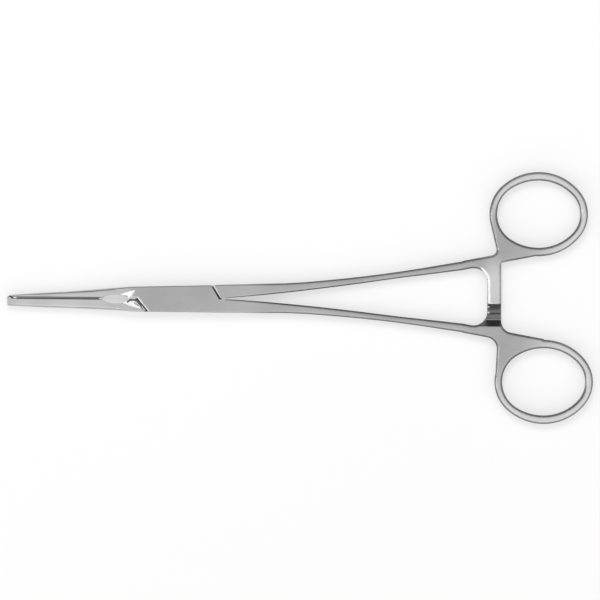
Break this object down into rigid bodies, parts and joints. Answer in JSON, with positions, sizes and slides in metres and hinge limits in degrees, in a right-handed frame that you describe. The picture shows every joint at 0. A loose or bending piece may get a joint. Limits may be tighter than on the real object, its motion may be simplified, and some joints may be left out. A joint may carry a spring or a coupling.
{
  "type": "vascular clamp",
  "caption": "Straight ring-handled vascular clamp with a box lock, toothed jaws and a ratchet, lying closed.",
  "frame": {"origin": "where the axis of the lock pin meets the underside of the box", "axes": "+X along the clamp from the jaws to the finger rings, +Z along the lock pin, out of the upper face"},
  "size_m": [0.2, 0.0859, 0.0048],
  "materials": {
    "satin_steel": "satin",
    "pin_steel": "satin"
  },
  "bodies": {
    "box_body": {"box_half": "satin_steel", "lock_pin": "pin_steel"},
    "tongue_body": {"tongue_half": "satin_steel"}
  },
  "joints": [
    {"name": "box_lock_pivot", "type": "hinge", "parent": "box_body", "child": "tongue_body", "pos_m": [0, 0, 0.0024], "axis": [0, 0, 1], "range_deg": [0, 45]}
  ]
}
